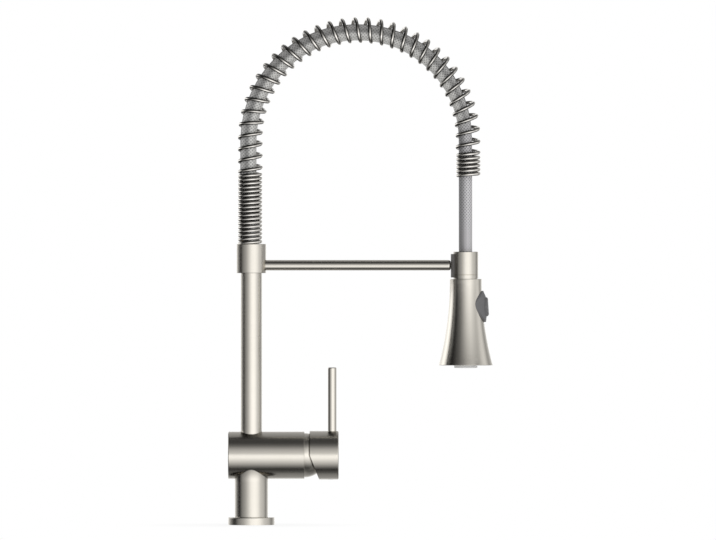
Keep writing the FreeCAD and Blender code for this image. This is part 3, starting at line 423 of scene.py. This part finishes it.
hose = piped("braided_hose", hose_route, hose_radii, resolution=12, sides=8)
braid, tree, shader = new_surface("hose_braid")
full_turn = 2.0 * math.pi
braid_round = 13.0
braid_along = 168.0
braid_gloss = (0.6, 0.42)
braid_metal = 0.35
braid_relief = 0.5
braid_depth = 0.0003
inside_at = 0.2
bend_over = (leg_steps + bend_steps) / len(hose_route)
bend_over_zone = (bend_over - 0.03, bend_over + 0.02)
outer_zone = (-0.22, -0.75)
rim_zone = (-0.84, -0.97)
inner_zone = (-0.18, 0.4)
drop_zone = (1.0, -0.6)
groove_shades = (0.52, 0.34)
ridge_shades = (1.19, 1.25)
bend_side = (0.28, 0.278, 0.272)
bend_outer = (0.54, 0.535, 0.525)
# Painted shade along the arch's outermost line.
bend_rim_shade = (0.15, 0.149, 0.146)
bend_inner = (0.62, 0.615, 0.595)
# Painted shade and light on the drop: its left side darker and its right side lighter, as the light falls.
drop_shaded_side = (0.22, 0.218, 0.222)
drop_lit_side = (0.54, 0.532, 0.542)
hose_map = own_map(tree)
around = add_math(tree, "MULTIPLY", hose_map["Y"], braid_round)
along = add_math(tree, "MULTIPLY", hose_map["X"], braid_along)
strands = []
for way in (1.0, -1.0):
    phase = add_math(tree, "MULTIPLY_ADD", around, way, along)
    wave = add_math(tree, "SINE", add_math(tree, "MULTIPLY", phase, full_turn))
    strands.append(add_math(tree, "MULTIPLY_ADD", wave, 0.5, 0.5))
weave = add_math(tree, "MAXIMUM", *strands)
turned = add_math(tree, "MULTIPLY", add_math(tree, "SUBTRACT", hose_map["Y"], inside_at), full_turn)
inside = add_math(tree, "COSINE", turned)
outer = mixed(tree, eased(tree, inside, *outer_zone), bend_side, bend_outer)
rimmed = mixed(tree, eased(tree, inside, *rim_zone), outer, bend_rim_shade)
bent = mixed(tree, eased(tree, inside, *inner_zone), rimmed, bend_inner)
straight = mixed(tree, eased(tree, inside, *drop_zone), drop_shaded_side, drop_lit_side)
past_bend = eased(tree, hose_map["X"], *bend_over_zone)
groove = add_range(tree, past_bend, *groove_shades)
ridge = add_range(tree, past_bend, *ridge_shades)
shading = add_range(tree, weave, groove, ridge)
braided = add_vector(tree, "MULTIPLY", mixed(tree, past_bend, bent, straight), shading)
tree.links.new(braided, shader.inputs["Base Color"])
tree.links.new(add_range(tree, weave, *braid_gloss), shader.inputs["Roughness"])
shader.inputs["Metallic"].default_value = braid_metal
add_bump(tree, shader, weave, braid_relief, braid_depth)
hose.data.materials.append(braid)
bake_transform(hose)
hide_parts("hose_arch", "hose_drop")


# Spring
# One round nickel-plated wire, wound close above the collar and at the far end, and open and a little wider over
# the arch. Its turns come from the pitch along the arch's line; the cut ends are square. The wire carries painted
# shade on the sides that face its neighbours, and painted shadow inside the coil beside the hose.
wire_r = 0.0018
close_r = 0.01075
open_r = 0.011
top_r = 0.01145
coil_shift = 0.0004
coil_x = bend_x + coil_shift
coil_draw = 0.00025
coil_lift = 0.0002
coil_start = collar_top + coil_lift
coil_end_z = 0.3485
close_left = 17.71
open_turns = 32.92
close_right = 6.17
close_left_pitch = 0.00395
close_right_pitch = 0.00402
start_angle = math.radians(-35.0)
points_per_turn = 24
half_change = 0.5
left_leg = bend_z - coil_start
coil_line = left_leg + math.pi * bend_r + bend_z - coil_end_z
left_closed = close_left_pitch * (close_left + half_change)
right_closed = close_right_pitch * (close_right - half_change)
open_pitch = (coil_line - (left_closed + right_closed)) / open_turns
open_end = close_left + open_turns
total_turns = open_end + close_right
left_close_top = coil_start + left_closed
right_close_top = coil_end_z + right_closed


def opened(turn):
    """Turns run since the pitch began to change, which it does evenly over one turn."""
    share = min(max(turn, 0.0), 1.0)
    return share * share / 2.0 + max(turn - 1.0, 0.0)


def wire_place(turn):
    """Middle of the wire after a number of turns."""
    along = close_left_pitch * turn
    along += (open_pitch - close_left_pitch) * opened(turn - close_left)
    along += (close_right_pitch - open_pitch) * opened(turn - open_end)
    bend = (along - left_leg) / bend_r
    held = min(max(bend, 0.0), math.pi)
    outward = Vector((-math.cos(held), 0.0, math.sin(held)))
    wider = smooth(turn, close_left, close_left + 1.0) - smooth(turn, open_end, open_end + 1.0)
    centre = Vector((coil_x, 0.0, bend_z)) + outward * (bend_r - coil_draw * wider)
    centre.z += min(bend, 0.0) * bend_r - max(bend - math.pi, 0.0) * bend_r
    coil_r = close_r + (open_r - close_r + (top_r - open_r) * math.sin(held)) * wider
    angle = start_angle + full_turn * turn
    return centre + outward * (coil_r * math.cos(angle)) - Vector((0.0, coil_r * math.sin(angle), 0.0))


close_share = 0.65
tip_start = 0.1
tip_left = 0.35
tip_run = 0.5
flank_turn = (-0.4, 0.1)
flank_zone = (0.24, 0.62)
covered_reach = (0.6, 0.8)
covered_turn = (0.0, 0.5)


def wire_sides(place, normal):
    """Masks for the wire's painted shade: how deep a spot lies inside the coil beside the hose, and how far it
    faces along the coil.
    """
    arm = Vector((place.x - coil_x, 0.0, max(place.z - bend_z, 0.0))).normalized()
    from_centre = place - Vector((coil_x, 0.0, bend_z))
    from_axis = arm * (arm.dot(from_centre) - bend_r) + Vector((0.0, place.y, 0.0))
    facing_out = normal.dot(from_axis.normalized())
    beside = abs(place.y) / close_r
    covered = smooth(beside, *covered_reach) * smooth(-facing_out, *covered_turn)
    close_top = left_close_top if arm.x < 0.0 else right_close_top
    loose = 1.0 if place.z > close_top else close_share
    along_coil = normal.dot(Vector((arm.z, 0.0, -arm.x)))
    tip = tip_start + tip_left * min(from_axis.x / close_r, 0.0)
    flank = along_coil * loose * smooth(facing_out, *flank_turn) * smooth(beside, tip, tip + tip_run)
    return covered, flank


wire_points = [wire_place(step / points_per_turn) for step in range(int(total_turns * points_per_turn) + 1)]
spring = piped("arch_spring", wire_points, [wire_r] * len(wire_points), resolution=2, sides=4)
corner_maps = spring.data.uv_layers.active.data
for loop in spring.data.loops:
    corner = spring.data.vertices[loop.vertex_index]
    corner_maps[loop.index].uv = wire_sides(corner.co, corner.normal)
spring_wire = satin_metal(
    "spring_wire", stretch=(900.0, 900.0, 900.0), dark=(0.84, 0.812, 0.762), light=(0.92, 0.89, 0.836),
    roughness=(0.1, 0.17))
draw_low(spring_wire, lift=0.25)
# Painted shade on the wire's sides, for the dark that the neighbouring turns and the hose cast and mirror there.
painted_flank_shade = (0.09, 0.088, 0.084)
# Painted shadow where the wire lies inside the coil beside the hose.
painted_coil_shadow = (0.02, 0.02, 0.02)
tree = spring_wire.node_tree
wire_colour = tree.nodes["Principled BSDF"].inputs["Base Color"]
wire_map = own_map(tree)
flank = eased(tree, add_math(tree, "ABSOLUTE", wire_map["Y"]), *flank_zone)
sided = mixed(tree, flank, wire_colour.links[0].from_socket, painted_flank_shade)
tree.links.new(mixed(tree, wire_map["X"], sided, painted_coil_shadow), wire_colour)
spring.data.materials.append(spring_wire)
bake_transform(spring)
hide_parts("spring")


# Head neck and shell
# Turned neck that screws into a flared casing, both drawn thin, plated and satin finished.
# The marks run round the head's own upright axis.
dress(nickel_upright, "head_neck")
# The casing gets a lighter copy of the nickel than the neck, as painted light.
nickel_shell = satin_metal(
    "nickel_shell", marks_round_z, dark=(0.747, 0.709, 0.638), light=(0.792, 0.755, 0.684), roughness=(0.15, 0.25))
draw_low(nickel_shell, lift=0.065)
dress(nickel_shell, "head_shell")


# Bezel and button
# Pointed rim let into the casing's side, with a rocking pad in it that changes jet to spray.
# Mid grey plastic with a fine matt skin.
button_plastic = moulded(
    "button_plastic", dark=(0.124, 0.123, 0.126), light=(0.148, 0.147, 0.15),
    roughness=(0.4, 0.55), grain_scale=2600.0, grain_depth=0.00003)
dress(button_plastic, "button_bezel", "selector_button")


# Spray face
# Grey plate with soft rubber nozzles round a light grey aerator with a drilled screen.
# Moulded pieces that clip and screw together from below.
spray_face = moulded(
    "spray_face", dark=(0.26, 0.26, 0.26), light=(0.31, 0.31, 0.31),
    roughness=(0.4, 0.55), grain_scale=2200.0, grain_depth=0.00002)
nozzle_rubber = moulded(
    "nozzle_rubber", dark=(0.36, 0.36, 0.36), light=(0.42, 0.42, 0.42),
    roughness=(0.5, 0.65), grain_scale=3000.0, grain_depth=0.00002)
nozzle_plastic = moulded(
    "nozzle_plastic", dark=(0.66, 0.655, 0.64), light=(0.74, 0.735, 0.72),
    roughness=(0.32, 0.46), grain_scale=2400.0, grain_depth=0.00002)
dress(spray_face, "spray_plate")
dress(nozzle_rubber, "spray_nubs")
dress(nozzle_plastic, "aerator_housing", "aerator_screen")


# Floor
# Plain white sweep under the tap: white to the camera, with the tap's soft shadow kept near its foot.
# Mirrors don't show it, so that the metal's underside keeps the room's soft bands.
floor_reach = 12.0
floor_drop = 0.0003
shadow_near = 0.02
shadow_far = 0.14
shadow_share = 0.12
floor_mesh = bpy.data.meshes.new("floor")
shape = bmesh.new()
bmesh.ops.create_grid(shape, x_segments=1, y_segments=1, size=floor_reach)
bmesh.ops.translate(shape, verts=shape.verts, vec=(0.0, 0.0, -floor_drop))
shape.to_mesh(floor_mesh)
shape.free()
floor = bpy.data.objects.new("floor", floor_mesh)
bpy.context.scene.collection.objects.link(floor)
floor.visible_glossy = False
sweep, tree, shader = new_surface("floor_sweep")
tree.nodes.remove(shader)
place = tree.nodes.new("ShaderNodeTexCoord").outputs["Object"]
away = add_vector(tree, "LENGTH", place, result="Value")
near = add_range(tree, eased(tree, away, shadow_near, shadow_far), shadow_share, 0.0)
camera_ray = tree.nodes.new("ShaderNodeLightPath").outputs["Is Camera Ray"]
shade = add_math(tree, "MULTIPLY", camera_ray, near)
shine = add_node(tree, "ShaderNodeEmission", Strength=add_math(tree, "SUBTRACT", 1.0, shade))
paper = add_node(tree, "ShaderNodeBsdfDiffuse", Color=shade)
whole = tree.nodes.new("ShaderNodeAddShader")
tree.links.new(shine.outputs["Emission"], whole.inputs[0])
tree.links.new(paper.outputs["BSDF"], whole.inputs[1])
tree.links.new(whole.outputs["Shader"], tree.nodes["Material Output"].inputs["Surface"])
floor_mesh.materials.append(sweep)


# Studio
# White room seen by the camera. Dull surfaces get an even soft light, a little stronger from the front right.
# What the metal mirrors is a broad light in front, dark card at the sides, above and below, and the white room
# behind; over the horizon the bands sit further round to the right, and a dark card hangs high on the left.
mirror_strength = (1.6, 1.6, 1.6)
soft_level = 0.78
soft_side = (0.2, -0.32, -0.16)
room_white = (1.0, 1.0, 1.0)
card_shade = (0.03, 0.03, 0.03)
round_span = 180.0
rise_span = 90.0
horizon_zone = (2.0, 6.0)
beside_zone = (60.0, 90.0)
behind_zone = (120.0, 150.0)
card_start_zone = (-58.0, -82.0)
card_end_zone = (-172.0, -145.0)
card_foot_zone = (20.0, 32.0)
studio = bpy.data.worlds.new("studio")
studio.use_nodes = True
bpy.context.scene.world = studio
tree = studio.node_tree
direction = tree.nodes.new("ShaderNodeTexCoord").outputs["Generated"]
ray = add_node(tree, "ShaderNodeSeparateXYZ", Vector=direction)
path = tree.nodes.new("ShaderNodeLightPath")


def bands(tree, value, span, *stops):
    """Grey bands along an angle, from stops of degrees and grey within plus or minus a span."""
    share = add_math(tree, "MULTIPLY_ADD", value, 0.5 / span, 0.5)
    made = add_node(tree, "ShaderNodeValToRGB", Fac=share)
    ramp = made.color_ramp
    while len(ramp.elements) < len(stops):
        ramp.elements.new(0.5)
    for element, (deg, grey) in zip(ramp.elements, stops):
        element.position = (deg + span) / (2.0 * span)
        element.color = (grey, grey, grey, 1.0)
    return made.outputs["Color"]


turn = add_math(tree, "ARCTAN2", ray.outputs["X"], add_math(tree, "MULTIPLY", ray.outputs["Y"], -1.0))
turn_deg = add_math(tree, "DEGREES", turn)
rise_deg = add_math(tree, "DEGREES", add_math(tree, "ARCSINE", ray.outputs["Z"]))
level_light = bands(
    tree, turn_deg, round_span, (-180, 1.0), (-150, 0.6), (-116, 0.12), (-97, 0.0), (-85, 0.02), (-69, 0.18),
    (-40, 0.36), (-22, 0.58), (0, 0.92), (25, 0.98), (45, 0.86), (65, 0.56), (98, 0.4), (118, 0.17), (150, 0.55),
    (180, 1.0))
raised_light = bands(
    tree, turn_deg, round_span, (-180, 1.0), (-150, 0.75), (-120, 0.98), (-108, 0.7), (-92, 0.2), (-71, 0.01),
    (-58, 0.05), (-34, 0.18), (-12, 0.46), (8, 0.8), (30, 0.94), (55, 0.66), (75, 0.46), (100, 0.5), (124, 0.2),
    (150, 0.5), (180, 1.0))
side_light = mixed(tree, eased(tree, rise_deg, *horizon_zone), level_light, raised_light)
front_rise = bands(
    tree, rise_deg, rise_span, (-90, 0.16), (-80, 0.05), (-68, 0.02), (-55, 0.17), (-24, 0.72), (-10, 1.02),
    (0, 0.98), (9, 0.77), (25, 0.56), (45, 0.18), (60, 0.062), (75, 0.06), (90, 0.1))
side_rise = bands(
    tree, rise_deg, rise_span, (-90, 0.16), (-44, 0.3), (0, 1.0), (30, 1.0), (50, 0.4), (90, 0.09))
back_rise = bands(
    tree, rise_deg, rise_span, (-90, 0.16), (-44, 0.25), (-15, 0.6), (0, 1.0), (28, 0.34), (73, 0.22), (90, 0.09))
off_front = add_math(tree, "ABSOLUTE", turn_deg)
beside = eased(tree, off_front, *beside_zone)
behind = eased(tree, off_front, *behind_zone)
open_room = mixed(tree, behind, mixed(tree, beside, front_rise, side_rise), back_rise)
card_start = eased(tree, turn_deg, *card_start_zone)
card_end = eased(tree, turn_deg, *card_end_zone)
card_foot = eased(tree, rise_deg, *card_foot_zone)
high_card = add_math(tree, "MULTIPLY", add_math(tree, "MULTIPLY", card_start, card_end), card_foot)
rise_light = mixed(tree, high_card, open_room, card_shade)
mirrored = add_vector(tree, "MULTIPLY", side_light, rise_light)
bright = add_vector(tree, "MULTIPLY", mirrored, mirror_strength)
facing = add_vector(tree, "DOT_PRODUCT", direction, soft_side, result="Value")
soft = add_math(tree, "ADD", facing, soft_level)
lit = mixed(tree, path.outputs["Is Diffuse Ray"], bright, soft)
seen = mixed(tree, path.outputs["Is Camera Ray"], lit, room_white)
tree.links.new(seen, tree.nodes["Background"].inputs["Color"])


# Camera
# Level view along +Y from far off, as in the product photograph, with one millimetre to a pixel.
# A long lens keeps the upright edges straight.
frame_width = 0.716
camera_distance = 12.0
view_centre = Vector((0.1066, 0.0, 0.2548))
lens = bpy.data.cameras.new("camera")
lens.sensor_fit = "HORIZONTAL"
lens.lens = lens.sensor_width * camera_distance / frame_width
camera = bpy.data.objects.new("camera", lens)
camera.location = view_centre - Vector((0.0, camera_distance, 0.0))
camera.rotation_euler = (math.radians(90.0), 0.0, 0.0)
bpy.context.scene.collection.objects.link(camera)
bpy.context.scene.camera = camera
bpy.context.scene.view_settings.view_transform = "Standard"
